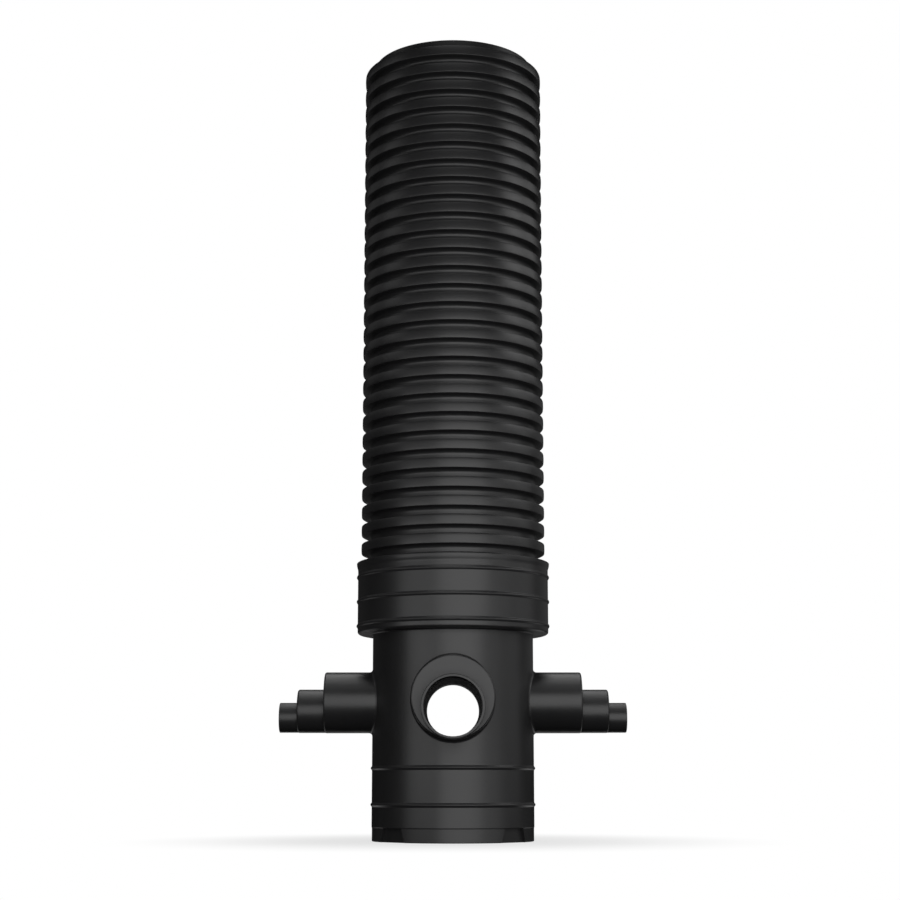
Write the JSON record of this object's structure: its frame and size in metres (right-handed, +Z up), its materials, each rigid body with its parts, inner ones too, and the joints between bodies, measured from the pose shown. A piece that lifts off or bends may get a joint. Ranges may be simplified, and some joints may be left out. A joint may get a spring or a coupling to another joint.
{
  "type": "catchpit chamber",
  "caption": "Upright drainage catchpit: moulded base with a sump, stepped pipe spigots and a socket that holds a tall corrugated riser pipe.",
  "frame": {"origin": "on the ground under the middle of the chamber", "axes": "+Z up along the chamber and the riser, -Y along the outlet, +Y along the main inlet, +X and -X along the side inlets"},
  "size_m": [1.289, 0.954, 3],
  "materials": {
    "base_plastic": "satin, as moulded",
    "riser_plastic": "satin, as extruded",
    "seal_rubber": "smooth"
  },
  "bodies": {
    "root": {"chamber_base": "base_plastic", "riser_pipe": "riser_plastic", "riser_seal": "seal_rubber"}
  },
  "joints": []
}
